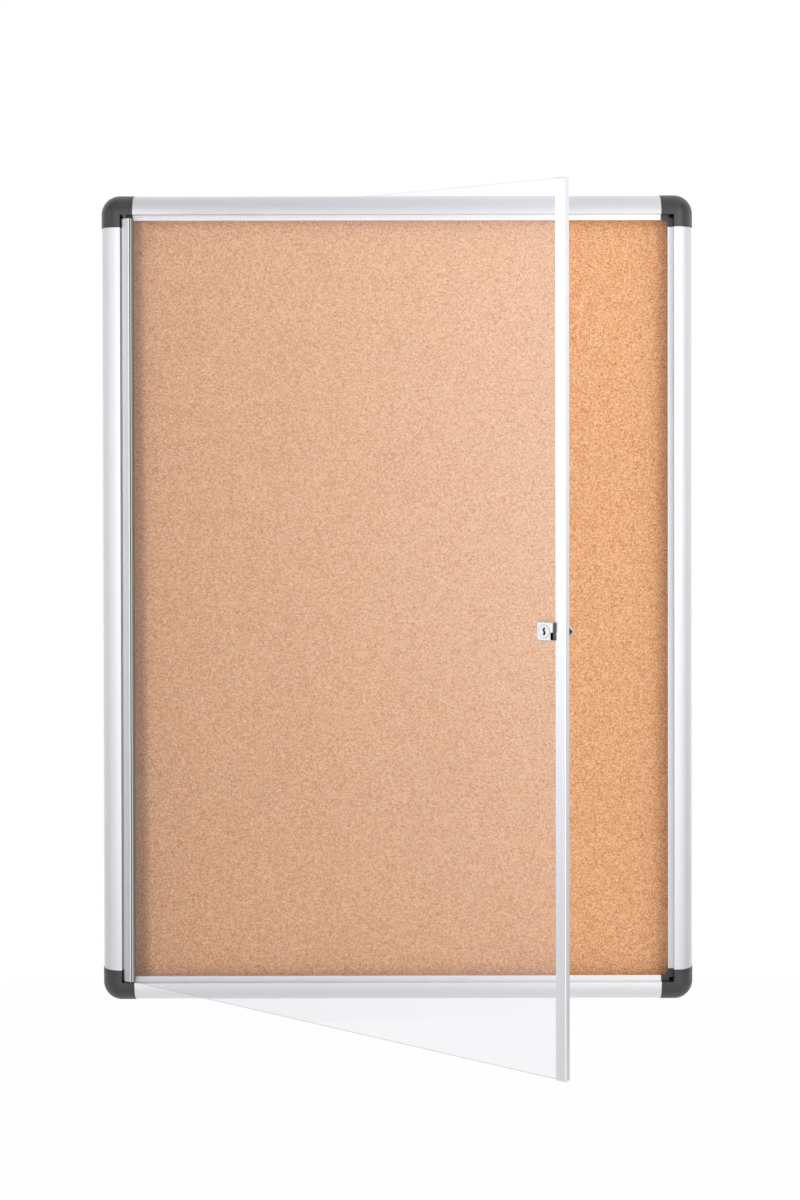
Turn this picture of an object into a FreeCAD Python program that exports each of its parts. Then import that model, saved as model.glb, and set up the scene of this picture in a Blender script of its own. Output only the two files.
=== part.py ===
import FreeCAD, Part
import math
import os
from FreeCAD import Vector as V

# Lockable notice board for a wall. Millimetres.
# Frame: origin in the middle of the back plane, which lies on the wall (Y = 0).
# +Z up, +X to the right seen from the front, the front faces -Y.
# p or s: distance inwards from the outer edge. v: height above the wall, Y = -v.

# ---- overall ----
WIDTH = 720.0           # over the corner caps
HEIGHT = 981.0
DEPTH = 35.0
PROUD = 0.6             # the caps stand this far outside the aluminium
PROUD_FRONT = 0.4
HX, HZ = WIDTH / 2, HEIGHT / 2

# ---- frame section ----
CROWN_W = 25.0          # outer edge to the wall of the recess
ROUND_P = 23.0          # centre of the rounded outer part, also the corner radius
SIDE_V = 9.5            # height of the straight side above the wall
ALU_TOP = DEPTH - PROUD_FRONT
SKIN = 1.5
LIP_EDGE = 31.7         # outer edge to the free edge of the lip
LIP_TOP = 27.0
WEB_IN, WEB_OUT = 21.5, 23.0
FLANGE_EDGE = 30.6
RIB_V0, RIB_V1 = 8.1, 9.6
RIB_EDGE = 26.5
ARM = 40.0              # length of a corner cap's arm
CREST_R = 0.8

# ---- panel stack ----
PANEL_EDGE = 24.2       # outer edge to the edge of the sheets
BACKING_V = (1.55, 2.35)
CORE_V = (2.35, 6.35)
CORK_V = (6.35, 7.95)

# ---- corner cap and bracket ----
CAP_WALL = 2.2
COLLAR_W = 3.2
GROOVE_W, GROOVE_D = 0.55, 0.45
CREASE_P, CREASE_W, CREASE_D = 14.0, 0.8, 0.55
WALL_HOLE = 16.0        # from both outer edges
WALL_HOLE_R = 2.75
BASE_T = 4.0
SPIGOT_END = 66.0
SPIGOT_P = (4.0, 21.2)
SPIGOT_V = (1.75, 16.0)
SCREW_S, SCREW_P = 52.0, 12.0
SCREW_R, SCREW_HEAD_R, SCREW_LEN = 1.6, 3.0, 12.0
GUSSET = 3.6

# ---- hinge ----
PIVOT_X, PIVOT_V = -329.9, 31.0
PIVOT_P = HX + PIVOT_X
PIN_R, PIN_IN, BUSH_BORE = 1.75, 12.0, 1.81
BUSH_R, BUSH_LEN, FLANGE_R, FLANGE_T = 2.5, 6.0, 3.4, 2.2

# ---- door, drawn closed and then swung open ----
OPEN_DEG = 40.5
DOOR_Z0, DOOR_Z1 = -463.1, 460.8
DOOR_FREE = 333.5
NOSE_R = 3.5
HINGE_LEG = 11.2        # pivot to the end of the legs
LEG_T = 1.2
PANE_HALF = 1.5
GROOVE_HALF = 2.3
CLOSE_W = 13.1
CLOSE_BEVEL = 0.4       # front outer corner of the closing profile
STRIP_OUT = 4.4         # the hinge side strip shows this far past the profile's legs
PLUG_T = 1.5

# ---- lock ----
LOCK_X, LOCK_Z = DOOR_FREE - 23.4, -3.0
LOCK_W, LOCK_H = 20.2, 20.4
LOCK_FRONT = 39.5
BARREL_R, PLUG_R, FACE_R, FACE_BORE = 8.0, 6.0, 6.5, 6.83
CAM_V0, CAM_V1 = 22.5, 24.5
CAM_HALF, CAM_TIP, CAM_POINT = 6.0, 25.2, 6.0

os.makedirs("parts", exist_ok=True)
NODES = {}


def put(name, shape):
    """Keeps a node: one solid, or a group of separate solids."""
    solids = shape.Solids
    assert solids, name
    NODES[name] = solids[0] if len(solids) == 1 else Part.makeCompound(solids)


def box(x0, x1, y0, y1, z0, z1):
    return Part.makeBox(x1 - x0, y1 - y0, z1 - z0, V(x0, y0, z0))


def cyl(r, base, axis, length):
    return Part.makeCylinder(r, length, V(*base), V(*axis))


def one(shape):
    s = shape.removeSplitter()
    return s.Solids[0] if len(s.Solids) == 1 else s


def line(a, b):
    return Part.LineSegment(a, b).toShape()


def poly(points):
    return Part.Face(Part.makePolygon(points + [points[0]]))


# ---------------------------------------------------------------- sections
# A section is drawn as (p, v) and placed by one of these two.
def on_stile(z):
    return lambda p, v: V(HX - p, -v, z)


def on_rail(x):
    return lambda p, v: V(x, -v, HZ - p)


def dome(at, inset, top, p_end, v0=0.0, crest=0.0):
    """The closed outline under a rounded frame section, from the side wall to p_end."""
    a, b = ROUND_P - inset, top - SIDE_V
    ell = Part.Ellipse(at(ROUND_P, top), at(inset, SIDE_V), at(ROUND_P, SIDE_V)) if b > a else Part.Ellipse(
        at(inset, SIDE_V), at(ROUND_P, top), at(ROUND_P, SIDE_V))
    arc = Part.ArcOfEllipse(ell, 0, math.pi / 2).toShape()
    edges = [line(at(inset, v0), at(inset, SIDE_V)), arc]
    if p_end > ROUND_P:
        if crest:
            edges.append(line(at(ROUND_P, top), at(p_end - crest, top)))
            k = crest * (1 - math.sqrt(0.5))
            edges.append(Part.Arc(at(p_end - crest, top), at(p_end - k, top - k), at(p_end, top - crest)).toShape())
            edges.append(line(at(p_end, top - crest), at(p_end, v0)))
        else:
            edges.append(line(at(ROUND_P, top), at(p_end, top)))
            edges.append(line(at(p_end, top), at(p_end, v0)))
    else:
        edges.append(line(at(ROUND_P, top), at(ROUND_P, v0)))
    edges.append(line(at(p_end, v0), at(inset, v0)))
    return Part.Face(Part.Wire(Part.__sortEdges__(edges)))


def pv_box(at, p0, p1, v0, v1, run):
    return poly([at(p0, v0), at(p1, v0), at(p1, v1), at(p0, v1)]).extrude(run)


def rail(at, run):
    """A length of the frame section: hollow rounded chamber, recess wall, lip, and the channel for the panel."""
    body = dome(at, PROUD, ALU_TOP, CROWN_W, crest=CREST_R).extrude(run)
    # what lies behind the recess wall and under the lip is open
    body = body.cut(pv_box(at, WEB_OUT, CROWN_W + 1, -1, LIP_TOP, run))
    hollow = dome(at, PROUD + SKIN, ALU_TOP - SKIN, CROWN_W - SKIN, v0=SKIN).extrude(run)
    hollow = hollow.cut(pv_box(at, WEB_IN, CROWN_W, 0, LIP_TOP, run))
    body = body.cut(hollow)
    # lip with a rounded free edge and a shallow groove
    t = 1.5
    r = t / 2
    lip = [
        line(at(WEB_IN, LIP_TOP - t), at(LIP_EDGE - r, LIP_TOP - t)),
        Part.Arc(at(LIP_EDGE - r, LIP_TOP - t), at(LIP_EDGE, LIP_TOP - r), at(LIP_EDGE - r, LIP_TOP)).toShape(),
        line(at(LIP_EDGE - r, LIP_TOP), at(30.2, LIP_TOP)),
        line(at(30.2, LIP_TOP), at(29.8, LIP_TOP - 0.45)),
        line(at(29.8, LIP_TOP - 0.45), at(27.6, LIP_TOP - 0.45)),
        line(at(27.6, LIP_TOP - 0.45), at(27.2, LIP_TOP)),
        line(at(27.2, LIP_TOP), at(WEB_IN, LIP_TOP)),
        line(at(WEB_IN, LIP_TOP), at(WEB_IN, LIP_TOP - t)),
    ]
    body = body.fuse(Part.Face(Part.Wire(lip)).extrude(run))
    body = body.fuse(pv_box(at, WEB_IN, FLANGE_EDGE, 0, SKIN, run))
    body = body.fuse(pv_box(at, WEB_IN, RIB_EDGE, RIB_V0, RIB_V1, run))
    return one(body)


def screw_at(x, z):
    """A countersunk self-tapping screw driven from the back."""
    head = Part.makeCone(SCREW_HEAD_R, SCREW_R, 1.4, V(x, -0.15, z), V(0, -1, 0))
    shank = cyl(SCREW_R, (x, -1.5, z), (0, -1, 0), SCREW_LEN - 2.0)
    tip = Part.makeCone(SCREW_R, 0.3, 2.0, V(x, -SCREW_LEN + 0.5, z), V(0, -1, 0))
    cross = box(x - 1.5, x + 1.5, -1.0, 0, z - 0.25, z + 0.25).fuse(box(x - 0.25, x + 0.25, -1.0, 0, z - 1.5, z + 1.5))
    return one(head.fuse([shank, tip]).cut(cross))


def screw_hole(x, z):
    head = Part.makeCone(SCREW_HEAD_R + 0.2, SCREW_R + 0.06, 1.45, V(x, -0.1, z), V(0, -1, 0))
    mouth = cyl(SCREW_HEAD_R + 0.2, (x, 1, z), (0, -1, 0), 1.12)
    return head.fuse([mouth, cyl(SCREW_R + 0.04, (x, -1.0, z), (0, -1, 0), SCREW_LEN + 1.0)])


SCREWS = [(sx * (HX - SCREW_P), sz * (HZ - SCREW_S)) for sx in (-1, 1) for sz in (-1, 1)]
SCREWS += [(sx * (HX - SCREW_S), sz * (HZ - SCREW_P)) for sx in (-1, 1) for sz in (-1, 1)]

MIRROR_X = lambda s: s.mirror(V(0, 0, 0), V(1, 0, 0))
MIRROR_Z = lambda s: s.mirror(V(0, 0, 0), V(0, 0, 1))

stile = rail(on_stile(-(HZ - ARM)), V(0, 0, 2 * (HZ - ARM)))
top = rail(on_rail(-(HX - ARM)), V(2 * (HX - ARM), 0, 0))
for x, z in SCREWS:
    if x > 0 and abs(x) > HX - ARM:
        stile = stile.cut(screw_hole(x, z))
    if z > 0 and abs(z) > HZ - ARM:
        top = top.cut(screw_hole(x, z))
put("frame_stile_right", stile)
put("frame_stile_left", MIRROR_X(stile))
put("frame_rail_top", top)
put("frame_rail_bottom", MIRROR_Z(top))

# ---------------------------------------------------------------- corner cap (drawn top right)
AX, AZ = HX - ROUND_P, HZ - ROUND_P        # centre of the corner radius


def corner(inset, top_v, p_end, v0=0.0, arm=ARM, crest=0.0):
    """Two arms and the turned quarter that joins them, with a sharp inner corner."""
    full = max(p_end, ROUND_P)
    up = dome(on_stile(HZ - arm), inset, top_v, full, v0, crest).extrude(V(0, 0, arm - ROUND_P))
    across = dome(on_rail(HX - arm), inset, top_v, full, v0, crest).extrude(V(arm - ROUND_P, 0, 0))
    if p_end < ROUND_P:
        up = up.cut(pv_box(on_stile(HZ - arm), p_end, ROUND_P + 1, v0 - 1, top_v + 1, V(0, 0, arm - ROUND_P)))
        across = across.cut(pv_box(on_rail(HX - arm), p_end, ROUND_P + 1, v0 - 1, top_v + 1, V(arm - ROUND_P, 0, 0)))
    turn = dome(on_stile(AZ), inset, top_v, ROUND_P, v0).revolve(V(AX, 0, AZ), V(0, -1, 0), 90)
    return up.fuse([across, turn])


def ring(inset_a, inset_b, p_end, s0, s1, which):
    """A slab of the arm between two insets of the section, for a groove round the arm."""
    if which == "stile":
        at, run = on_stile(HZ - s1), V(0, 0, s1 - s0)
    else:
        at, run = on_rail(HX - s1), V(s1 - s0, 0, 0)
    a = dome(at, inset_a, DEPTH - inset_a, CROWN_W, v0=-1).extrude(run)
    b = dome(at, inset_b, DEPTH - inset_b, CROWN_W, v0=-2).extrude(run)
    slab = a.cut(b)
    return slab.common(pv_box(at, inset_a - 1, p_end, -1, DEPTH + 3, run))


cap = one(corner(0.0, DEPTH, CROWN_W, crest=CREST_R))
hollow = corner(CAP_WALL, DEPTH - CAP_WALL, CROWN_W - CAP_WALL, v0=-1.0, arm=ARM + 1)
cap = cap.cut(hollow)
# the recess wall stops on the bracket's lip
cap = cap.cut(box(HX - ARM - 1, AX + 0.3, -LIP_TOP - 0.05, 1, HZ - CROWN_W - 1, AZ + 0.3))
cap = cap.cut(box(HX - CROWN_W - 1, AX + 0.3, -LIP_TOP - 0.05, 1, HZ - ARM - 1, AZ + 0.3))
# collar at each arm's end, set off by a groove that fades at the crown
for which in ("stile", "rail"):
    cap = cap.cut(ring(-1.0, GROOVE_D, 13.2, ARM - COLLAR_W - GROOVE_W, ARM - COLLAR_W, which))
# seam line concentric with the outer edge
v_crease = SIDE_V + (DEPTH - SIDE_V) * math.sqrt(1 - ((ROUND_P - CREASE_P) / ROUND_P) ** 2)
y0, y1 = -DEPTH - 1, -(v_crease - CREASE_D)
h = CREASE_W / 2
s_end = ARM - COLLAR_W - GROOVE_W
cap = cap.cut(box(HX - CREASE_P - h, HX - CREASE_P + h, y0, y1, HZ - s_end, AZ))
cap = cap.cut(box(HX - s_end, AX, y0, y1, HZ - CREASE_P - h, HZ - CREASE_P + h))
r_c = ROUND_P - CREASE_P
tube = cyl(r_c + h, (AX, y0, AZ), (0, 1, 0), y1 - y0).cut(cyl(r_c - h, (AX, y0 - 1, AZ), (0, 1, 0), y1 - y0 + 2))
cap = cap.cut(tube.common(box(AX, HX, y0 - 1, y1 + 1, AZ, HZ)))
# notch for the pivot boss and its bush, open towards the back
px = HX - PIVOT_P
cap = cap.cut(box(px - 2.75, px + 2.75, -PIVOT_V - 2.75, 1, HZ - CROWN_W - 1, HZ - 18.2))
cap = cap.cut(box(px - 3.9, px + 3.9, -PIVOT_V - 2.75, 1, HZ - CROWN_W + CAP_WALL - 0.1, HZ - 18.2))
cap = one(cap)

# ---------------------------------------------------------------- corner bracket (top right)


def slab(v0, v1, r, p_in):
    """A flat L: rounded outer corner of radius r, arms ending at the cap's arm ends, inner edge at p_in."""
    up = box(HX - p_in, AX + r, -v1, -v0, HZ - ARM, AZ)
    across = box(HX - ARM, AX, -v1, -v0, HZ - p_in, AZ + r)
    quarter = cyl(r, (AX, -v1, AZ), (0, 1, 0), v1 - v0).common(box(AX, HX, -v1, -v0, AZ, HZ))
    return up.fuse([across, quarter])


def ell(p0, p1, v0, v1, end=ARM):
    """An L-shaped band between two distances from the outer edges."""
    return box(HX - p1, HX - p0, -v1, -v0, HZ - end, HZ - p0).fuse(
        box(HX - end, HX - p0, -v1, -v0, HZ - p1, HZ - p0))


SLACK = 0.25
bracket = slab(0.0, BASE_T, ROUND_P - CAP_WALL - SLACK, WEB_OUT - 0.1)
bracket = bracket.fuse(ell(WEB_IN - 0.1, WEB_OUT - 0.1, 0, LIP_TOP))
lip_plate = ell(WEB_IN - 0.1, LIP_EDGE, LIP_TOP - 1.7, LIP_TOP)
bracket = bracket.fuse([
    lip_plate,
    ell(WEB_IN, FLANGE_EDGE, 0, SKIN),
    ell(WEB_IN, RIB_EDGE, RIB_V0, RIB_V1),
    Part.Face(Part.makePolygon([
        V(HX - LIP_EDGE + 1, -(LIP_TOP - 1.7), HZ - LIP_EDGE + 1), V(HX - LIP_EDGE + 1, -(LIP_TOP - 1.7), HZ - LIP_EDGE - GUSSET - 1),
        V(HX - LIP_EDGE - GUSSET - 1, -(LIP_TOP - 1.7), HZ - LIP_EDGE + 1), V(HX - LIP_EDGE + 1, -(LIP_TOP - 1.7), HZ - LIP_EDGE + 1),
    ])).extrude(V(0, -1.7, 0)),
    # spigots for the stile and the rail
    box(HX - SPIGOT_P[1], HX - SPIGOT_P[0], -SPIGOT_V[1], -SPIGOT_V[0], HZ - SPIGOT_END, HZ - 27.0),
    box(HX - SPIGOT_END, HX - 27.0, -SPIGOT_V[1], -SPIGOT_V[0], HZ - SPIGOT_P[1], HZ - SPIGOT_P[0]),
    # boss for the pivot bush, behind the cap's recess wall
    box(px - 3.7, px + 3.7, -PIVOT_V - 2.6, -BASE_T + 0.5, HZ - CROWN_W + CAP_WALL + 0.1, HZ - 18.5),
    # pocket block under the lip in the very corner
    box(HX - LIP_EDGE, HX - WEB_OUT + 0.1, -LIP_TOP, -RIB_V0, HZ - 30.8, HZ - WEB_OUT + 0.1),
])
pocket = box(HX - 30.3, HX - CROWN_W, -LIP_TOP - 1, -12.0, HZ - 29.4, HZ - CROWN_W)
bracket = bracket.cut(pocket)
bracket = bracket.cut(cyl(BUSH_R + 0.02, (px, -PIVOT_V, HZ - CROWN_W - 3), (0, 0, 1), 12.0))
bracket = bracket.cut(cyl(WALL_HOLE_R, (HX - WALL_HOLE, 1, HZ - WALL_HOLE), (0, -1, 0), BASE_T + 2))
for x, z in SCREWS:
    if x > 0 and z > 0:
        bracket = bracket.cut(screw_hole(x, z))
bracket = one(bracket)

for name, move in (("top_right", lambda s: s), ("top_left", MIRROR_X), ("bottom_right", MIRROR_Z),
                   ("bottom_left", lambda s: MIRROR_X(MIRROR_Z(s)))):
    put("corner_cap_" + name, move(cap))
    put("corner_bracket_" + name, move(bracket))
put("corner_bracket_screws", Part.makeCompound([screw_at(x, z) for x, z in SCREWS]))

# ---------------------------------------------------------------- panel
ex, ez = HX - PANEL_EDGE, HZ - PANEL_EDGE
for name, (v0, v1) in (("backing_sheet", BACKING_V), ("core_board", CORE_V), ("cork_sheet", CORK_V)):
    put(name, box(-ex, ex, -v1, -v0, -ez, ez))

# ---------------------------------------------------------------- hinge bushes, in the two left corners


def bush(z_face, up):
    tube_ = cyl(BUSH_R, (PIVOT_X, -PIVOT_V, z_face), (0, 0, up), BUSH_LEN)
    collar = cyl(FLANGE_R, (PIVOT_X, -PIVOT_V, z_face), (0, 0, -up), FLANGE_T)
    bore = cyl(BUSH_BORE, (PIVOT_X, -PIVOT_V, z_face - up * (FLANGE_T + 1)), (0, 0, up), BUSH_LEN + FLANGE_T + 2)
    return one(tube_.fuse(collar).cut(bore))


z_in = HZ - CROWN_W
put("hinge_bush_upper", bush(z_in, 1))
put("hinge_bush_lower", bush(-z_in, -1))

# ---------------------------------------------------------------- door, closed
DOOR = {}
LOCK = {}
DOOR_H = DOOR_Z1 - DOOR_Z0


def dsec(points, z0, height):
    """A closed polygon given as (x from the pivot, v from the pivot), extruded upwards."""
    return poly([V(PIVOT_X + x, -(PIVOT_V + v), z0) for x, v in points]).extrude(V(0, 0, height))


nose = cyl(NOSE_R, (PIVOT_X, -PIVOT_V, DOOR_Z0), (0, 0, 1), DOOR_H)
legs = dsec([(0, -NOSE_R), (HINGE_LEG - 0.6, -NOSE_R), (HINGE_LEG, -NOSE_R + 0.6), (HINGE_LEG, -GROOVE_HALF),
             (3.7, -GROOVE_HALF), (3.7, GROOVE_HALF), (HINGE_LEG, GROOVE_HALF), (HINGE_LEG, NOSE_R - 0.6),
             (HINGE_LEG - 0.6, NOSE_R), (0, NOSE_R)], DOOR_Z0, DOOR_H)
hinge = nose.fuse(legs)
hinge = hinge.cut(cyl(PIN_R + 0.03, (PIVOT_X, -PIVOT_V, DOOR_Z0 - 1), (0, 0, 1), DOOR_H + 2))
# two fine lines run along the outer leg
for x in (4.6, 9.4):
    hinge = hinge.cut(box(PIVOT_X + x - 0.2, PIVOT_X + x + 0.2, -(PIVOT_V + NOSE_R) - 1, -(PIVOT_V + NOSE_R) + 0.2,
                          DOOR_Z0 - 1, DOOR_Z1 + 1))
DOOR["hinge_profile"] = one(hinge)

pane_x0, pane_x1 = PIVOT_X + 4.25, DOOR_FREE - 2.1
pane = box(pane_x0, pane_x1, -(PIVOT_V + PANE_HALF), -(PIVOT_V - PANE_HALF), DOOR_Z0 + 0.4, DOOR_Z1 - 0.4)
pane = pane.cut(cyl(BARREL_R + 0.2, (LOCK_X, -PIVOT_V - 5, LOCK_Z), (0, 1, 0), 10))
DOOR["door_pane"] = pane

# U-shaped glazing strips grip the pane in both profiles
g = GROOVE_HALF - 0.03
gz0, gh = DOOR_Z0 + 0.4, DOOR_H - 0.8
so = HINGE_LEG + STRIP_OUT
strip = dsec([(3.73, -g), (so - 0.4, -g), (so, -PANE_HALF - 0.02), (4.2, -PANE_HALF - 0.02),
              (4.2, PANE_HALF + 0.02), (so, PANE_HALF + 0.02), (so - 0.4, g), (3.73, g)], gz0, gh)
DOOR["glazing_strip_hinge_side"] = strip
fx = DOOR_FREE - PIVOT_X
strip = dsec([(fx - 1.55, -g), (fx - CLOSE_W + 0.3, -g), (fx - CLOSE_W + 0.3, -PANE_HALF - 0.02), (fx - 2.05, -PANE_HALF - 0.02),
              (fx - 2.05, PANE_HALF + 0.02), (fx - CLOSE_W + 0.3, PANE_HALF + 0.02), (fx - CLOSE_W + 0.3, g), (fx - 1.55, g)],
             DOOR_Z0 + PLUG_T, DOOR_H - 2 * PLUG_T)
DOOR["glazing_strip_lock_side"] = strip

c = 0.5
bev = CLOSE_BEVEL
close = dsec([(fx - CLOSE_W + c, NOSE_R), (fx - bev, NOSE_R), (fx, NOSE_R - bev), (fx, -NOSE_R + c), (fx - c, -NOSE_R),
              (fx - CLOSE_W + c, -NOSE_R), (fx - CLOSE_W, -NOSE_R + c), (fx - CLOSE_W, -GROOVE_HALF),
              (fx - 1.5, -GROOVE_HALF), (fx - 1.5, GROOVE_HALF), (fx - CLOSE_W, GROOVE_HALF), (fx - CLOSE_W, NOSE_R - c)],
             DOOR_Z0 + PLUG_T, DOOR_H - 2 * PLUG_T)
# fine grip line along the outer face
for x in (fx - CLOSE_W + 3.2,):
    close = close.cut(box(PIVOT_X + x - 0.2, PIVOT_X + x + 0.2, -(PIVOT_V + NOSE_R) - 1, -(PIVOT_V + NOSE_R) + 0.2,
                          DOOR_Z0 - 1, DOOR_Z1 + 1))
# and one on the end face, beside the bevel
close = close.cut(box(DOOR_FREE - 0.3, DOOR_FREE + 1, -(PIVOT_V + NOSE_R - bev - 0.1), -(PIVOT_V + NOSE_R - bev - 0.55),
                      DOOR_Z0 - 1, DOOR_Z1 + 1))
DOOR["closing_profile"] = one(close)


def plug(z0):
    """End plug: a thin plate with the outline of the profile, notched over the pane."""
    plate = dsec([(fx - CLOSE_W + c, NOSE_R), (fx - bev, NOSE_R), (fx, NOSE_R - bev), (fx, -NOSE_R + c), (fx - c, -NOSE_R),
                  (fx - CLOSE_W + c, -NOSE_R), (fx - CLOSE_W, -NOSE_R + c), (fx - CLOSE_W, -PANE_HALF - 0.05),
                  (fx - 2.0, -PANE_HALF - 0.05), (fx - 2.0, PANE_HALF + 0.05), (fx - CLOSE_W, PANE_HALF + 0.05),
                  (fx - CLOSE_W, NOSE_R - c)], z0, PLUG_T)
    return one(plate)


DOOR["closing_profile_plug_top"] = plug(DOOR_Z1 - PLUG_T)
DOOR["closing_profile_plug_bottom"] = plug(DOOR_Z0)

# pins pressed into the ends of the hinge profile
low = -z_in - BUSH_LEN + 0.4
DOOR["hinge_pin_lower"] = cyl(PIN_R, (PIVOT_X, -PIVOT_V, low), (0, 0, 1), DOOR_Z0 + PIN_IN - low)
high = z_in + BUSH_LEN - 0.4
DOOR["hinge_pin_upper"] = cyl(PIN_R, (PIVOT_X, -PIVOT_V, DOOR_Z1 - PIN_IN), (0, 0, 1), high - (DOOR_Z1 - PIN_IN))

# ---------------------------------------------------------------- lock
pane_f, pane_b = PIVOT_V + PANE_HALF, PIVOT_V - PANE_HALF
seal_t = 0.5


def on_axis(r, v0, v1):
    return cyl(r, (LOCK_X, -v1, LOCK_Z), (0, 1, 0), v1 - v0)


def block(w, h_, v0, v1, r):
    b = box(LOCK_X - w / 2, LOCK_X + w / 2, -v1, -v0, LOCK_Z - h_ / 2, LOCK_Z + h_ / 2)
    edges = [e for e in b.Edges if abs(e.tangentAt(e.FirstParameter).y) > 0.9]
    return b.makeFillet(r, edges)


seal = block(LOCK_W - 0.8, LOCK_H - 0.8, pane_f + 0.02, pane_f + seal_t, 2.1).cut(on_axis(BARREL_R + 0.1, 20, 50))
DOOR["lock_seal"] = seal
housing = block(LOCK_W, LOCK_H, pane_f + seal_t, LOCK_FRONT, 2.5)
front = [e for e in housing.Edges if all(abs(v.Y + LOCK_FRONT) < 1e-6 for v in e.Vertexes)]
housing = housing.makeFillet(1.3, front)
housing = housing.fuse(on_axis(BARREL_R, 25.2, pane_f + seal_t + 1))
housing = housing.cut([on_axis(PLUG_R + 0.05, 20, 50), on_axis(FACE_BORE, 38.2, 50)])
# pocket at the edge of the front
housing = housing.cut(box(LOCK_X + 7.9, LOCK_X + 11, -LOCK_FRONT - 1, -LOCK_FRONT + 2.2, LOCK_Z - 8.6, LOCK_Z - 0.7))
DOOR["lock_housing"] = one(housing)
# ring nut with four slots for a key
nut = on_axis(9.3, pane_b - 3.2, pane_b - 0.02).cut(on_axis(BARREL_R + 0.05, 20, 50))
for i in range(4):
    a = math.radians(45 + 90 * i)
    slot = box(-1.1, 1.1, -(pane_b - 1.6), -(pane_b - 3.4), 8.7, 9.9)
    slot.rotate(V(0, 0, 0), V(0, 1, 0), math.degrees(a))
    slot.translate(V(LOCK_X, 0, LOCK_Z))
    nut = nut.cut(slot)
DOOR["lock_nut"] = one(nut)

# plug: face, body with slots for the wafers, tang for the cam
plug_ = on_axis(PLUG_R, 24.6, 38.3).fuse(on_axis(FACE_R, 38.25, LOCK_FRONT + 0.15))
tang = box(LOCK_X - 3.0, LOCK_X + 3.0, -24.7, -CAM_V0, LOCK_Z - 3.0, LOCK_Z + 3.0)
plug_ = plug_.fuse(tang)
key = [(-0.45, 3.85), (0.75, 3.85), (0.75, 2.1), (0.35, 1.5), (0.35, 0.6), (1.05, 0.0), (1.05, -2.6), (0.45, -3.1), (0.45, -3.85),
       (-0.75, -3.85), (-0.75, -2.1), (-0.35, -1.5), (-0.35, -0.6), (-1.05, 0.0), (-1.05, 2.6), (-0.45, 3.1)]
keyway = poly([V(LOCK_X + x, -LOCK_FRONT - 2, LOCK_Z + z) for x, z in key]).extrude(V(0, 12.9, 0))
plug_ = plug_.cut(keyway)
# the keyhole's mouth is wider than the keyway behind it
mouth = poly([V(LOCK_X + 1.8 * x, -LOCK_FRONT - 2, LOCK_Z + 1.04 * z) for x, z in key]).extrude(V(0, 3.0, 0))
plug_ = plug_.cut(mouth)
wafers = []
for i in range(5):
    v = 29.6 + 1.6 * i
    plug_ = plug_.cut(box(LOCK_X - 2.3, LOCK_X + 2.3, -v - 0.95, -v, LOCK_Z - 7, LOCK_Z + 7))
    w = box(LOCK_X - 2.25, LOCK_X + 2.25, -v - 0.9, -v - 0.05, LOCK_Z - 5.3, LOCK_Z + 5.3)
    dz = (0.4, -0.3, 0.1, 0.5, -0.2)[i]
    w = w.cut(box(LOCK_X - 1.3, LOCK_X + 1.3, -v - 2, -v + 1, LOCK_Z - 4.4 + dz, LOCK_Z + 4.2 + dz))
    wafers.append(one(w))
plug_ = plug_.cut(on_axis(1.52, 20, 27.9))
LOCK["lock_plug"] = one(plug_)
LOCK["lock_wafers"] = Part.makeCompound(wafers)
cam = poly([V(LOCK_X, -CAM_V1, LOCK_Z - CAM_HALF), V(LOCK_X + CAM_TIP - CAM_POINT, -CAM_V1, LOCK_Z - CAM_HALF),
            V(LOCK_X + CAM_TIP - 0.5, -CAM_V1, LOCK_Z - 0.5), V(LOCK_X + CAM_TIP - 0.5, -CAM_V1, LOCK_Z + 0.5),
            V(LOCK_X + CAM_TIP - CAM_POINT, -CAM_V1, LOCK_Z + CAM_HALF), V(LOCK_X, -CAM_V1, LOCK_Z + CAM_HALF)]).extrude(
    V(0, CAM_V1 - CAM_V0, 0))
cam = cam.fuse(on_axis(CAM_HALF, CAM_V0, CAM_V1))
cam = cam.cut(box(LOCK_X - 3.05, LOCK_X + 3.05, -30, -15, LOCK_Z - 3.05, LOCK_Z + 3.05))
LOCK["lock_cam"] = one(cam)
LOCK["cam_washer"] = on_axis(4.8, CAM_V0 - 0.9, CAM_V0 - 0.02).cut(on_axis(1.75, 10, 30))
head = on_axis(3.4, CAM_V0 - 3.1, CAM_V0 - 0.92)
head = head.makeFillet(0.9, [e for e in head.Edges if all(abs(v.Y + CAM_V0 - 3.1) < 1e-6 for v in e.Vertexes) and e.Curve.TypeId == "Part::GeomCircle"])
shank = on_axis(1.5, CAM_V0 - 1.0, 27.4)
cross = box(LOCK_X - 1.9, LOCK_X + 1.9, -(CAM_V0 - 1.9), -10, LOCK_Z - 0.35, LOCK_Z + 0.35).fuse(
    box(LOCK_X - 0.35, LOCK_X + 0.35, -(CAM_V0 - 1.9), -10, LOCK_Z - 1.9, LOCK_Z + 1.9))
LOCK["cam_screw"] = one(head.fuse(shank).cut(cross))

# ---------------------------------------------------------------- swing the door open
for group in (DOOR, LOCK):
    for name, shape in group.items():
        s = shape.copy()
        s.rotate(V(PIVOT_X, -PIVOT_V, 0), V(0, 0, 1), -OPEN_DEG)
        put(name, s)

for name, shape in NODES.items():
    shape.exportStep("parts/" + name + ".step")
    print(name, len(shape.Solids), round(shape.Volume, 1), shape.isValid())
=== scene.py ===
import math

import bpy
from mathutils import Matrix, Vector

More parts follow.
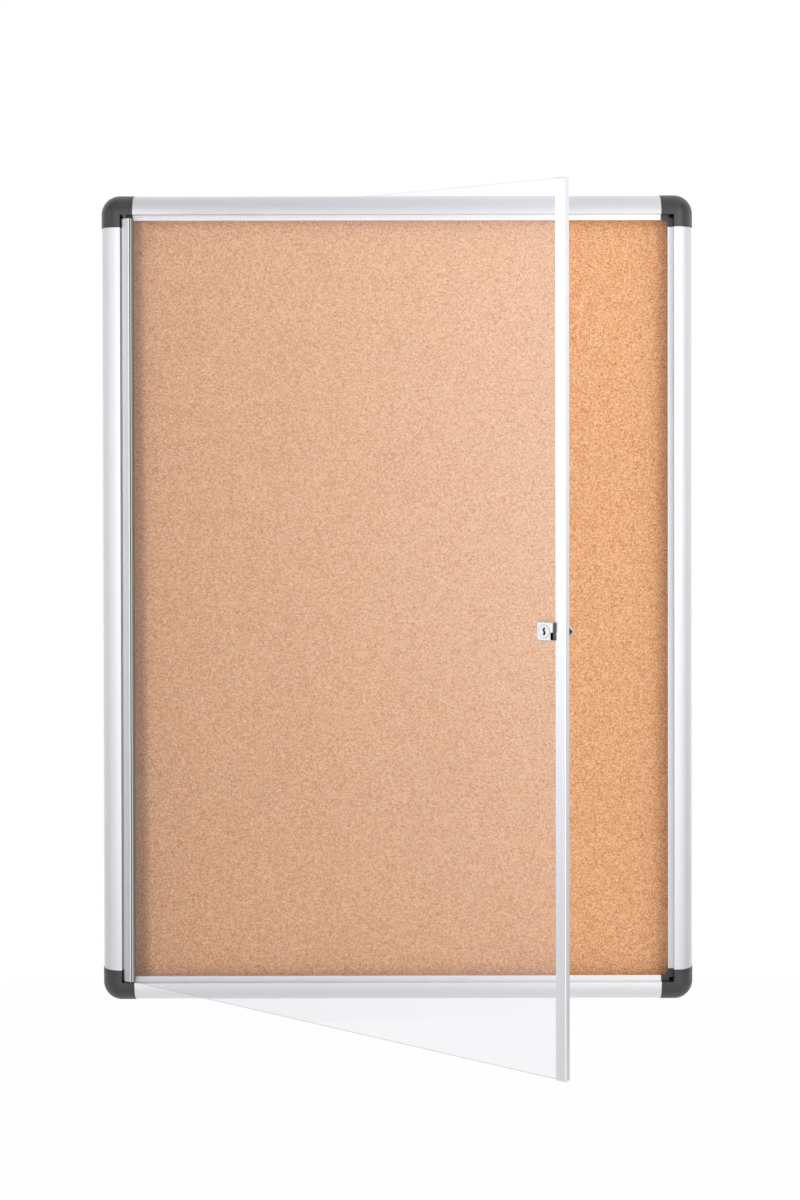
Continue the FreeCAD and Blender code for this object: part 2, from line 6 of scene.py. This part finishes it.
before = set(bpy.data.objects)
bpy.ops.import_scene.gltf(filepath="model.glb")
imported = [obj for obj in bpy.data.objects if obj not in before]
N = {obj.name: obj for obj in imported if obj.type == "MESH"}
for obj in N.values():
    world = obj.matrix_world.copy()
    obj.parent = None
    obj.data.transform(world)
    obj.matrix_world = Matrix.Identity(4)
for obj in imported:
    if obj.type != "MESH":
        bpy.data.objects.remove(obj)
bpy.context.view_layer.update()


# ---------------------------------------------------------------- node helpers
class Tree:
    """A short way to write a material's or the world's nodes."""

    def __init__(self, tree):
        self.t = tree
        self.t.nodes.clear()

    def n(self, kind, inputs=None, **settings):
        node = self.t.nodes.new(kind)
        for k, v in settings.items():
            setattr(node, k, v)
        for k, v in (inputs or {}).items():
            s = node.inputs[k]
            if isinstance(v, bpy.types.NodeSocket):
                self.t.links.new(v, s)
            else:
                s.default_value = v
        return node

    def math(self, op, a, b=None, c=None, clamp=False):
        node = self.t.nodes.new("ShaderNodeMath")
        node.operation = op
        node.use_clamp = clamp
        for i, v in enumerate((a, b, c)):
            if v is None:
                continue
            if isinstance(v, bpy.types.NodeSocket):
                self.t.links.new(v, node.inputs[i])
            else:
                node.inputs[i].default_value = v
        return node.outputs[0]

    def mix(self, fac, a, b, blend="MIX"):
        node = self.t.nodes.new("ShaderNodeMix")
        node.data_type = "RGBA"
        node.blend_type = blend
        for i, v in ((0, fac), (6, a), (7, b)):
            if isinstance(v, bpy.types.NodeSocket):
                self.t.links.new(v, node.inputs[i])
            else:
                node.inputs[i].default_value = v
        return node.outputs[2]

    def ramp(self, fac, stops, interpolation="LINEAR"):
        node = self.t.nodes.new("ShaderNodeValToRGB")
        node.color_ramp.interpolation = interpolation
        el = node.color_ramp.elements
        while len(el) > 1:
            el.remove(el[-1])
        el[0].position, el[0].color = stops[0][0], grey(stops[0][1])
        for p, c in stops[1:]:
            e = el.new(p)
            e.color = grey(c)
        self.t.links.new(fac, node.inputs[0])
        return node.outputs[0]

    def rng(self, v, a0, a1, b0, b1, clamp=True):
        return self.n("ShaderNodeMapRange", {0: v, 1: a0, 2: a1, 3: b0, 4: b1}, clamp=clamp).outputs[0]


def grey(c):
    return tuple(c) + (1.0,) if hasattr(c, "__len__") and len(c) == 3 else (c, c, c, 1.0) if not hasattr(c, "__len__") else tuple(c)


def material(name):
    m = bpy.data.materials.new(name)
    m.use_nodes = True
    t = Tree(m.node_tree)
    out = t.n("ShaderNodeOutputMaterial")
    return m, t, out


def coords(t, scale=(1, 1, 1)):
    """Positions on the piece in metres, times scale."""
    c = t.n("ShaderNodeTexCoord").outputs["Object"]
    return t.n("ShaderNodeMapping", {"Vector": c, "Scale": scale}).outputs[0]


def noise(t, vec, scale, detail=2.0, rough=0.5, distortion=0.0):
    return t.n("ShaderNodeTexNoise", {"Vector": vec, "Scale": scale, "Detail": detail, "Roughness": rough,
                                      "Distortion": distortion}).outputs[0]


def bump(t, height, strength, distance, normal=None):
    ins = {"Height": height, "Strength": strength, "Distance": distance}
    if normal is not None:
        ins["Normal"] = normal
    return t.n("ShaderNodeBump", ins).outputs[0]


# ---------------------------------------------------------------- materials
def aluminium(name, along, base=(0.715, 0.715, 0.733), rough=0.46, aniso=0.78, lip_painted_shading=None):
    """Satin anodised extrusion: drawn lines run along one axis. lip scales the colour of the narrow flange beside the
    cork: painted shade where it is below 1, painted light where it is above 1.
    """
    m, t, out = material(name)
    long, fine, wide = (0.6, 1, 1), 2600.0, 160.0
    s = {"z": (1, 1, 0.0006), "x": (0.0006, 1, 1)}[along]
    v = coords(t, s)
    lines = noise(t, v, fine, 3.0, 0.6)
    bands = noise(t, v, wide, 2.0, 0.5)
    cloud = noise(t, coords(t), 14.0, 3.0, 0.55)
    tone = t.math("ADD", t.math("MULTIPLY", t.math("SUBTRACT", lines, 0.5), 0.10), t.math("MULTIPLY", t.math("SUBTRACT", bands, 0.5), 0.10))
    tone = t.math("ADD", tone, t.math("MULTIPLY", t.math("SUBTRACT", cloud, 0.5), 0.03))
    value = t.math("ADD", 1.0, tone)
    # painted light and shade: the flange beside the cork, inside the edge, gets its colour scaled by the lip factor
    if lip_painted_shading:
        place = t.n("ShaderNodeSeparateXYZ", {0: t.n("ShaderNodeTexCoord").outputs["Object"]}).outputs[{"z": 0, "x": 2}[along]]
        edge = {"z": 0.3348, "x": 0.4653}[along]
        value = t.math("MULTIPLY", value, t.rng(t.math("ABSOLUTE", place), edge - 0.0002, edge + 0.0002, lip_painted_shading, 1.0))
    colour = t.mix(1.0, grey(base), t.n("ShaderNodeCombineColor", {0: value, 1: value, 2: value}).outputs[0], "MULTIPLY")
    r = t.math("ADD", rough, t.math("MULTIPLY", t.math("SUBTRACT", lines, 0.5), 0.16))
    r = t.math("ADD", r, t.math("MULTIPLY", t.math("SUBTRACT", cloud, 0.5), 0.05))
    nrm = bump(t, lines, 0.10, 0.00004)
    tan = t.n("ShaderNodeTangent", direction_type="RADIAL", axis={"z": "Z", "x": "X"}[along]).outputs[0]
    p = t.n("ShaderNodeBsdfPrincipled", {"Base Color": colour, "Metallic": 1.0, "Roughness": r, "Anisotropic": aniso,
                                         "Normal": nrm, "Tangent": tan})
    t.t.links.new(p.outputs[0], out.inputs[0])
    return m


def plastic(name, base, rough, grain=3200.0, depth=0.00006, strength=0.35, spec=0.5, blotch=0.12):
    """Moulded plastic with a fine spark-eroded texture."""
    m, t, out = material(name)
    v = coords(t)
    fine = noise(t, v, grain, 2.0, 0.6)
    mid = noise(t, v, grain * 0.22, 2.0, 0.5)
    cloud = noise(t, v, 60.0, 3.0, 0.6)
    value = t.math("ADD", 1.0, t.math("ADD", t.math("MULTIPLY", t.math("SUBTRACT", cloud, 0.5), blotch * 2),
                                      t.math("MULTIPLY", t.math("SUBTRACT", fine, 0.5), blotch)))
    colour = t.mix(1.0, grey(base), t.n("ShaderNodeCombineColor", {0: value, 1: value, 2: value}).outputs[0], "MULTIPLY")
    r = t.math("ADD", rough, t.math("MULTIPLY", t.math("SUBTRACT", mid, 0.5), 0.18))
    h = t.math("ADD", t.math("MULTIPLY", fine, 0.6), t.math("MULTIPLY", mid, 0.8))
    nrm = bump(t, h, strength, depth)
    p = t.n("ShaderNodeBsdfPrincipled", {"Base Color": colour, "Roughness": r, "Normal": nrm, "Specular IOR Level": spec})
    t.t.links.new(p.outputs[0], out.inputs[0])
    return m


def cork(name):
    """Pressed cork granules of about 1 mm, sanded flat: each granule has its own tone, with dark bark specks between."""
    m, t, out = material(name)
    v = coords(t)
    warp = t.n("ShaderNodeTexNoise", {"Vector": v, "Scale": 520.0, "Detail": 2.0})
    wv = t.n("ShaderNodeVectorMath", {0: t.n("ShaderNodeVectorMath", {0: warp.outputs[1], 1: (0.5, 0.5, 0.5)}, operation="SUBTRACT").outputs[0],
                                      "Scale": 0.0008}, operation="SCALE").outputs[0]
    v2 = t.n("ShaderNodeVectorMath", {0: v, 1: wv}, operation="ADD").outputs[0]
    big = t.n("ShaderNodeTexVoronoi", {"Vector": v2, "Scale": 830.0, "Randomness": 1.0}, feature="F1")
    small = t.n("ShaderNodeTexVoronoi", {"Vector": v2, "Scale": 1600.0, "Randomness": 1.0}, feature="F1")
    rb = t.n("ShaderNodeSeparateColor", {0: big.outputs["Color"]})
    rs = t.n("ShaderNodeSeparateColor", {0: small.outputs["Color"]})
    edge = t.n("ShaderNodeTexVoronoi", {"Vector": v2, "Scale": 830.0, "Randomness": 1.0}, feature="DISTANCE_TO_EDGE").outputs[0]
    # tone: most granules near the middle, a few light, a tail of dark ones
    tone = t.math("ADD", t.math("MULTIPLY", rb.outputs[0], 0.55), t.math("MULTIPLY", rs.outputs[0], 0.45))
    colour = t.ramp(tone, [(0.05, (0.493, 0.145, 0.022)), (0.20, (0.582, 0.230, 0.074)), (0.40, (0.702, 0.338, 0.152)),
                           (0.62, (0.831, 0.458, 0.247)), (0.85, (0.935, 0.575, 0.342))])
    # bark specks
    dark = t.math("LESS_THAN", rb.outputs[1], 0.04)
    dark = t.math("MULTIPLY", dark, t.rng(edge, 0.02, 0.10, 0.0, 1.0))
    colour = t.mix(t.math("MULTIPLY", dark, 0.8), colour, (0.350, 0.090, 0.018, 1))
    pale = t.math("GREATER_THAN", rs.outputs[1], 0.945)
    colour = t.mix(t.math("MULTIPLY", pale, 0.6), colour, (0.960, 0.710, 0.500, 1))
    # binder lines between the granules
    colour = t.mix(t.rng(edge, 0.0, 0.07, 0.5, 0.0), colour, (0.460, 0.160, 0.045, 1))
    # slow change over the sheet
    cloud = noise(t, v, 9.0, 3.0, 0.5)
    patch = noise(t, v, 60.0, 2.0, 0.5)
    value = t.math("ADD", 0.940, t.math("ADD", t.math("MULTIPLY", cloud, 0.05), t.math("MULTIPLY", patch, 0.05)))
    # painted shade: the cork is darkened to 0.60 along the hinge side, behind the door's profile, as the soft shadow of
    # the profile and frame; the band widens towards the bottom
    place = t.n("ShaderNodeSeparateXYZ", {0: t.n("ShaderNodeTexCoord").outputs["Object"]}).outputs
    along = t.math("ADD", place[0], t.math("MULTIPLY", place[2], 0.006))
    value = t.math("MULTIPLY", value, t.n("ShaderNodeMapRange", {0: along, 1: -0.3140, 2: -0.3020, 3: 0.60, 4: 1.0}, interpolation_type="SMOOTHSTEP").outputs[0])
    colour = t.mix(1.0, colour, t.n("ShaderNodeCombineColor", {0: value, 1: value, 2: value}).outputs[0], "MULTIPLY")
    h = t.math("ADD", t.math("MULTIPLY", t.rng(edge, 0.0, 0.12, 0.0, 1.0), 0.5), t.math("MULTIPLY", rs.outputs[2], 0.5))
    nrm = bump(t, h, 0.5, 0.00018)
    p = t.n("ShaderNodeBsdfPrincipled", {"Base Color": colour, "Roughness": t.rng(rs.outputs[0], 0, 1, 0.72, 0.92), "Normal": nrm,
                                         "Specular IOR Level": 0.3})
    t.t.links.new(p.outputs[0], out.inputs[0])
    return m


def acrylic(name):
    """Clear cast sheet, with a faint film of dust that is denser in soft patches. Light passes it towards the lamps."""
    m, t, out = material(name)
    v = coords(t)
    cloud = noise(t, v, 6.0, 3.0, 0.55)
    mote = noise(t, v, 2200.0, 2.0, 0.6)
    film = t.math("MULTIPLY", t.rng(cloud, 0.3, 0.7, 0.8, 1.2), t.rng(mote, 0.35, 0.75, 0.6, 1.6))
    glass = t.n("ShaderNodeBsdfPrincipled", {"Base Color": (0.945, 0.947, 0.967, 1), "Roughness": 0.0, "IOR": 1.49, "Transmission Weight": 1.0})
    dust = t.n("ShaderNodeBsdfDiffuse", {"Color": (0.92, 0.93, 0.97, 1)})
    body = t.n("ShaderNodeMixShader", {0: t.math("MULTIPLY", film, 0.018, clamp=True), 1: glass.outputs[0], 2: dust.outputs[0]})
    # the sawn top and bottom edges are matt, with fine saw marks across
    saw = noise(t, coords(t, (1, 1, 0.1)), 900.0, 2.0, 0.6)
    cut = t.n("ShaderNodeBsdfDiffuse", {"Color": t.ramp(saw, [(0.3, (0.60, 0.68, 0.84)), (0.7, (0.72, 0.80, 0.96))])})
    upright = t.n("ShaderNodeSeparateXYZ", {0: t.n("ShaderNodeNewGeometry").outputs["True Normal"]}).outputs[2]
    body = t.n("ShaderNodeMixShader", {0: t.math("MULTIPLY", t.math("GREATER_THAN", t.math("ABSOLUTE", upright), 0.7), 0.85), 1: body.outputs[0],
                                       2: cut.outputs[0]})
    clear = t.n("ShaderNodeBsdfTransparent", {"Color": (0.93, 0.94, 0.95, 1)})
    path = t.n("ShaderNodeLightPath").outputs
    mix = t.n("ShaderNodeMixShader", {0: path["Is Shadow Ray"], 1: body.outputs[0], 2: clear.outputs[0]})
    mix = t.n("ShaderNodeMixShader", {0: path["Is Diffuse Ray"], 1: mix.outputs[0], 2: clear.outputs[0]})
    t.t.links.new(mix.outputs[0], out.inputs[0])
    return m


# the door as it stands: its hinge line, and the directions across its width and out of its face
HINGE_LINE = (-0.3299, -0.031)
ACROSS = (math.cos(math.radians(40.5)), -math.sin(math.radians(40.5)))
OUTWARD = (-math.sin(math.radians(40.5)), -math.cos(math.radians(40.5)))


def lock_painted_shade(t):
    """Two masks of painted shade on the lock: its front pocket, painted black, and the recesses of the keyhole and
    round the plug with the outer side face, painted dark grey.
    """
    place = t.n("ShaderNodeSeparateXYZ", {0: t.n("ShaderNodeTexCoord").outputs["Object"]}).outputs
    x, y = t.math("SUBTRACT", place[0], HINGE_LINE[0]), t.math("SUBTRACT", place[1], HINGE_LINE[1])
    u = t.math("ADD", t.math("MULTIPLY", x, ACROSS[0]), t.math("MULTIPLY", y, ACROSS[1]))
    v = t.math("ADD", t.math("MULTIPLY", x, OUTWARD[0]), t.math("MULTIPLY", y, OUTWARD[1]))
    sunk = t.math("MULTIPLY", t.math("LESS_THAN", v, 0.00840), t.math("GREATER_THAN", v, 0.0020))
    pocket = t.math("MULTIPLY", t.math("GREATER_THAN", u, 0.64785),
                    t.math("MULTIPLY", t.math("LESS_THAN", place[2], -0.00366), t.math("GREATER_THAN", place[2], -0.01164)))
    pocket = t.math("MULTIPLY", pocket, t.math("MULTIPLY", t.math("GREATER_THAN", v, 0.00625), t.math("LESS_THAN", v, 0.0080)))
    from_axis = t.math("SQRT", t.math("ADD", t.math("POWER", t.math("SUBTRACT", u, 0.640), 2.0), t.math("POWER", t.math("ADD", place[2], 0.003), 2.0)))
    bore = t.math("MULTIPLY", t.math("LESS_THAN", from_axis, 0.0069), sunk)
    flank = t.math("MULTIPLY", t.math("GREATER_THAN", u, 0.64985), t.math("LESS_THAN", v, 0.0078))
    return pocket, t.math("MAXIMUM", bore, flank)


def metal(name, base, rough, kind="zinc", aniso=0.0, dark=None):
    """Plated or bare small metal parts: fine scratches, and cloudy plating on zinc."""
    m, t, out = material(name)
    v = coords(t)
    cloud = noise(t, v, 380.0, 3.0, 0.6)
    scratch = noise(t, coords(t, (1, 1, 0.05)), 5200.0, 2.0, 0.7)
    value = t.math("ADD", 1.0, t.math("ADD", t.math("MULTIPLY", t.math("SUBTRACT", cloud, 0.5), 0.16 if kind == "zinc" else 0.04),
                                      t.math("MULTIPLY", t.math("SUBTRACT", scratch, 0.5), 0.06)))
    colour = t.mix(1.0, grey(base), t.n("ShaderNodeCombineColor", {0: value, 1: value, 2: value}).outputs[0], "MULTIPLY")
    r = t.math("ADD", rough, t.math("MULTIPLY", t.math("SUBTRACT", cloud, 0.5), 0.5 * rough))
    r = t.math("ADD", r, t.math("MULTIPLY", t.math("SUBTRACT", scratch, 0.5), 0.6 * rough))
    nrm = bump(t, scratch, 0.06, 0.00003)
    if dark:
        # painted shade: the lock's pocket is painted black, its recesses and outer side dark grey, where shade falls on
        # the chrome
        painted_shade_black, painted_shade_grey = dark(t)
        colour = t.mix(painted_shade_grey, colour, (0.150, 0.148, 0.155, 1))
        colour = t.mix(painted_shade_black, colour, (0.016, 0.016, 0.018, 1))
    p = t.n("ShaderNodeBsdfPrincipled", {"Base Color": colour, "Metallic": 1.0, "Roughness": r, "Normal": nrm, "Anisotropic": aniso})
    t.t.links.new(p.outputs[0], out.inputs[0])
    return m


def galvanised(name):
    """Hot-dip sheet: a spangle of zinc crystals with soft streaks."""
    m, t, out = material(name)
    v = coords(t)
    w = t.n("ShaderNodeTexNoise", {"Vector": v, "Scale": 90.0, "Detail": 2.0})
    off = t.n("ShaderNodeVectorMath", {0: t.n("ShaderNodeVectorMath", {0: w.outputs[1], 1: (0.5, 0.5, 0.5)}, operation="SUBTRACT").outputs[0],
                                       "Scale": 0.006}, operation="SCALE").outputs[0]
    v2 = t.n("ShaderNodeVectorMath", {0: v, 1: off}, operation="ADD").outputs[0]
    cell = t.n("ShaderNodeTexVoronoi", {"Vector": v2, "Scale": 95.0}, feature="F1")
    c = t.n("ShaderNodeSeparateColor", {0: cell.outputs["Color"]})
    streak = noise(t, coords(t, (1, 1, 0.03)), 700.0, 2.0, 0.6)
    value = t.math("ADD", 0.90, t.math("ADD", t.math("MULTIPLY", c.outputs[0], 0.22), t.math("MULTIPLY", t.math("SUBTRACT", streak, 0.5), 0.08)))
    colour = t.mix(1.0, (0.56, 0.575, 0.59, 1), t.n("ShaderNodeCombineColor", {0: value, 1: value, 2: value}).outputs[0], "MULTIPLY")
    r = t.rng(c.outputs[1], 0, 1, 0.36, 0.56)
    nrm = bump(t, t.math("ADD", c.outputs[2], t.math("MULTIPLY", streak, 0.4)), 0.12, 0.00008)
    p = t.n("ShaderNodeBsdfPrincipled", {"Base Color": colour, "Metallic": 1.0, "Roughness": r, "Normal": nrm})
    t.t.links.new(p.outputs[0], out.inputs[0])
    return m


def fibreboard(name):
    m, t, out = material(name)
    v = coords(t, (1, 1, 1))
    fibre = noise(t, coords(t, (0.25, 1, 1)), 1400.0, 3.0, 0.65)
    clump = noise(t, v, 260.0, 3.0, 0.6)
    tone = t.math("ADD", t.math("MULTIPLY", fibre, 0.6), t.math("MULTIPLY", clump, 0.4))
    colour = t.ramp(tone, [(0.25, (0.24, 0.16, 0.09)), (0.5, (0.42, 0.30, 0.18)), (0.75, (0.58, 0.45, 0.30))])
    nrm = bump(t, fibre, 0.5, 0.0002)
    p = t.n("ShaderNodeBsdfPrincipled", {"Base Color": colour, "Roughness": 0.9, "Normal": nrm})
    t.t.links.new(p.outputs[0], out.inputs[0])
    return m


def soft_strip(name, base, rough, lit=None):
    """Extruded soft plastic. lit is the band, measured across the door from its hinge line, that keeps the plastic's
    colour; the strip outside it is painted shade, near black towards the hinge and dark brown beyond.
    """
    m, t, out = material(name)
    v = coords(t)
    drawn = noise(t, coords(t, (1, 1, 0.01)), 1800.0, 2.0, 0.5)
    cloud = noise(t, v, 120.0, 3.0, 0.5)
    value = t.math("ADD", 1.0, t.math("ADD", t.math("MULTIPLY", t.math("SUBTRACT", drawn, 0.5), 0.3), t.math("MULTIPLY", t.math("SUBTRACT", cloud, 0.5), 0.15)))
    colour = t.mix(1.0, grey(base), t.n("ShaderNodeCombineColor", {0: value, 1: value, 2: value}).outputs[0], "MULTIPLY")
    if lit:
        place = t.n("ShaderNodeSeparateXYZ", {0: t.n("ShaderNodeTexCoord").outputs["Object"]}).outputs
        u = t.math("ADD", t.math("MULTIPLY", t.math("SUBTRACT", place[0], HINGE_LINE[0]), ACROSS[0]),
                   t.math("MULTIPLY", t.math("SUBTRACT", place[1], HINGE_LINE[1]), ACROSS[1]))
        # painted shade: the strip is near black under the profile's leg and dark brown beyond the lit band, like the
        # shade on the cork next to it
        own_colour_band = t.math("MULTIPLY", t.rng(u, lit[0] - 0.0001, lit[0] + 0.0001, 0.0, 1.0), t.rng(u, lit[1] - 0.0001, lit[1] + 0.0001, 1.0, 0.0))
        outer = t.rng(u, lit[1] - 0.0001, lit[1] + 0.0001, 0.0, 1.0)
        colour = t.mix(own_colour_band, t.mix(outer, (0.045, 0.043, 0.045, 1), (0.200, 0.145, 0.115, 1)), colour)
    nrm = bump(t, drawn, 0.15, 0.00005)
    p = t.n("ShaderNodeBsdfPrincipled", {"Base Color": colour, "Roughness": t.rng(cloud, 0.3, 0.7, rough - 0.06, rough + 0.06), "Normal": nrm})
    t.t.links.new(p.outputs[0], out.inputs[0])
    return m


def finish_as(mat, *names):
    for name in names:
        o = N[name]
        if not o.material_slots:
            o.data.materials.append(mat)
        for s in o.material_slots:
            s.material = mat


# lip factors: painted shade on the uprights' flanges (0.98), painted light on the top rail's (1.28) and the bottom
# rail's (1.02)
finish_as(aluminium("frame_aluminium_upright", "z", lip_painted_shading=0.98), "frame_stile_right", "frame_stile_left")
finish_as(aluminium("frame_aluminium_level", "x", base=(0.722, 0.722, 0.740), lip_painted_shading=1.28), "frame_rail_top")
# painted light: the bottom rail is the same alloy as the top rail but given a lighter colour, 0.85 against 0.722
finish_as(aluminium("frame_aluminium_level_low_painted_light", "x", base=(0.850, 0.850, 0.870), lip_painted_shading=1.02), "frame_rail_bottom")
finish_as(aluminium("hinge_aluminium", "z", base=(0.705, 0.718, 0.733), rough=0.34, aniso=0.7), "hinge_profile")
finish_as(aluminium("closing_aluminium", "z", base=(0.780, 0.780, 0.802), rough=0.24, aniso=0.6), "closing_profile")
CORNERS = ("top_right", "top_left", "bottom_right", "bottom_left")
finish_as(plastic("cap_plastic", (0.036, 0.037, 0.039), 0.40), *["corner_cap_" + c for c in CORNERS])
finish_as(plastic("bracket_plastic", (0.030, 0.031, 0.033), 0.42), *["corner_bracket_" + c for c in CORNERS])
finish_as(plastic("plug_plastic", (0.70, 0.705, 0.72), 0.45), "closing_profile_plug_top", "closing_profile_plug_bottom")
finish_as(plastic("bush_plastic", (0.035, 0.035, 0.037), 0.35, depth=0.00003), "hinge_bush_upper", "hinge_bush_lower")
finish_as(cork("granulated_cork"), "cork_sheet")
finish_as(fibreboard("fibre_core"), "core_board")
finish_as(galvanised("galvanised_sheet"), "backing_sheet")
finish_as(acrylic("clear_sheet"), "door_pane")
finish_as(soft_strip("glazing_strip_pale", (0.62, 0.62, 0.625), 0.45), "glazing_strip_lock_side")
finish_as(soft_strip("glazing_strip_painted_shade", (0.66, 0.66, 0.665), 0.45, lit=(0.0127, 0.0143)), "glazing_strip_hinge_side")
finish_as(soft_strip("seal_rubber", (0.03, 0.03, 0.031), 0.6), "lock_seal")
finish_as(metal("lock_chrome", (0.715, 0.705, 0.712), 0.26, "chrome", dark=lock_painted_shade), "lock_housing", "lock_plug")
finish_as(metal("zinc_steel", (0.62, 0.62, 0.60), 0.30), "lock_nut", "corner_bracket_screws", "cam_washer", "cam_screw")
finish_as(metal("cam_zinc", (0.64, 0.64, 0.625), 0.28), "lock_cam")
finish_as(metal("pin_steel", (0.16, 0.16, 0.16), 0.40, "drawn"), "hinge_pin_lower", "hinge_pin_upper")
finish_as(metal("wafer_brass", (0.78, 0.58, 0.27), 0.28, "drawn"), "lock_wafers")

# ---------------------------------------------------------------- floor


def seen_straight(t):
    """1 for rays from the camera, also through a clear sheet, and 0 for light that is on its way round the room."""
    path = t.n("ShaderNodeLightPath").outputs
    first = t.math("MULTIPLY", t.math("LESS_THAN", path["Diffuse Depth"], 0.5), t.math("LESS_THAN", path["Glossy Depth"], 0.5))
    through = t.math("MULTIPLY", path["Is Transmission Ray"], first)
    return t.math("MAXIMUM", path["Is Camera Ray"], through)


bpy.ops.mesh.primitive_plane_add(size=3.2, location=(0, 0, -0.86))
floor = bpy.context.object
floor.name = "floor"
m, t, out = material("floor_pale")
p = t.n("ShaderNodeBsdfPrincipled", {"Base Color": t.mix(noise(t, coords(t), 3.0, 2.0), (0.88, 0.88, 0.88, 1), (0.91, 0.91, 0.91, 1)), "Roughness": 0.85,
                                     "Specular IOR Level": 0.1})
lit = t.n("ShaderNodeEmission", {"Color": (1, 1, 1, 1), "Strength": 0.99}, name="seen")
both = t.n("ShaderNodeMixShader", {0: seen_straight(t), 1: p.outputs[0], 2: lit.outputs[0]})
t.t.links.new(both.outputs[0], out.inputs[0])
floor.data.materials.append(m)

# ---------------------------------------------------------------- light
# brightness of the white room by direction, as the object's surfaces and reflections see it
ROOM = {"behind": 1.14, "up_left": 0.41, "up_right": 1.19, "down_left": 1.06, "down_right": 2.42, "left": 0.19, "right": 1.24,
        "side_left": 0.04, "side_right": 0.10, "front_left": 1.89, "front_right": 1.37, "panel_left": 1.77, "panel_high": 1.58,
        "panel_right": 0.72}
world = bpy.data.worlds.new("studio")
bpy.context.scene.world = world
world.use_nodes = True
w = Tree(world.node_tree)
wout = w.n("ShaderNodeOutputWorld")
ray = w.n("ShaderNodeSeparateXYZ", {0: w.n("ShaderNodeTexCoord").outputs["Generated"]}).outputs


def smooth(v, a0, a1):
    return w.n("ShaderNodeMapRange", {0: v, 1: a0, 2: a1, 3: 0.0, 4: 1.0}, interpolation_type="SMOOTHSTEP").outputs[0]


def less(v):
    return w.math("SUBTRACT", 1.0, v)


def times(*parts):
    out = parts[0]
    for p in parts[1:]:
        out = w.math("MULTIPLY", out, p)
    return out


rightness = smooth(ray[0], -0.45, 0.45)
behind = smooth(ray[1], -0.10, 0.50)
ahead_ = less(behind)
up = smooth(ray[2], 0.12, 0.60)
down = smooth(ray[2], -0.05, -0.45)
level_part = times(ahead_, less(up), less(down))
left = smooth(ray[0], -0.45, -0.75)
right = smooth(ray[0], 0.45, 0.75)
side = smooth(ray[1], -0.65, -0.10)
middle = times(level_part, less(left), less(right))
azimuth = w.math("MULTIPLY", w.math("ARCTAN2", ray[0], w.math("MULTIPLY", ray[1], -1.0)), 57.29578)
elevation = w.math("MULTIPLY", w.math("ARCSINE", ray[2]), 57.29578)


def soft_panel(az, el, wide, high):
    """A soft-edged panel: the opened door's face mirrors the left one, its free edge the right one."""
    da = w.math("POWER", w.math("DIVIDE", w.math("SUBTRACT", azimuth, az), wide), 2.0)
    de = w.math("POWER", w.math("DIVIDE", w.math("SUBTRACT", elevation, el), high), 2.0)
    return w.math("EXPONENT", w.math("MULTIPLY", w.math("ADD", da, de), -0.5))


total = None
fore = times(ahead_, less(times(side, w.math("MAXIMUM", left, right))))
for name, part in (("behind", behind), ("up_left", times(fore, up, less(rightness))), ("up_right", times(fore, up, rightness)),
                   ("down_left", times(fore, down, less(rightness))), ("down_right", times(fore, down, rightness)),
                   ("left", times(level_part, left, less(side))), ("right", times(level_part, right, less(side))),
                   ("side_left", times(ahead_, left, side)), ("side_right", times(ahead_, right, side)),
                   ("front_left", times(middle, less(rightness))), ("front_right", times(middle, rightness)),
                   ("panel_left", soft_panel(-72.0, -3.0, 8.5, 9.0)), ("panel_high", soft_panel(-72.0, 14.0, 8.5, 9.0)),
                   ("panel_right", soft_panel(100.0, 5.0, 10.0, 8.0))):
    share = w.n("ShaderNodeMath", {0: part, 1: ROOM[name]}, operation="MULTIPLY", name="room_" + name).outputs[0]
    total = share if total is None else w.math("ADD", total, share)
seen = w.n("ShaderNodeBackground", {"Color": (1, 1, 1, 1), "Strength": 1.0}, name="seen")
room = w.n("ShaderNodeBackground", {"Color": (0.985, 0.99, 1.0, 1), "Strength": total})
mix = w.n("ShaderNodeMixShader", {0: seen_straight(w), 1: room.outputs[0], 2: seen.outputs[0]})
w.t.links.new(mix.outputs[0], wout.inputs[0])


def softbox(name, at, aim, size, watts, colour=(1, 1, 1)):
    d = bpy.data.lights.new(name, "AREA")
    d.shape = "RECTANGLE"
    d.size, d.size_y = size
    d.energy = watts
    d.color = colour
    o = bpy.data.objects.new(name, d)
    bpy.context.scene.collection.objects.link(o)
    o.location = at
    o.rotation_euler = (Vector(aim) - Vector(at)).to_track_quat("-Z", "Y").to_euler()
    return o


softbox("softbox_right", (1.75, -2.25, 0.55), (0, 0, 0.05), (1.0, 1.6), 10.7)
softbox("softbox_left", (-1.40, -2.55, 0.55), (0, 0, 0.05), (1.0, 1.6), 2.5)

# ---------------------------------------------------------------- camera
cam_data = bpy.data.cameras.new("camera")
cam = bpy.data.objects.new("camera", cam_data)
bpy.context.scene.collection.objects.link(cam)
cam_data.sensor_fit = "AUTO"
cam_data.sensor_width = 36.0
cam_data.lens = 2233.2 * 36.0 / 1200.0
cam_data.shift_x = (400.0 - 402.8) / 1200.0
cam_data.shift_y = (460.3 - 600.0) / 1200.0
cam_data.clip_end = 60.0
pitch, roll = math.radians(-0.593), math.radians(0.101)
R = Matrix.Rotation(pitch, 3, "X") @ Matrix.Rotation(roll, 3, "Y")
right, ahead, up = R.col[0], R.col[1], R.col[2]
M = Matrix((right, up, -ahead)).transposed().to_4x4()
M.translation = Vector((0.0068, -2.7376, 0.1961))
cam.matrix_world = M
scene = bpy.context.scene
scene.camera = cam
scene.view_settings.view_transform = "Standard"
scene.view_settings.look = "None"
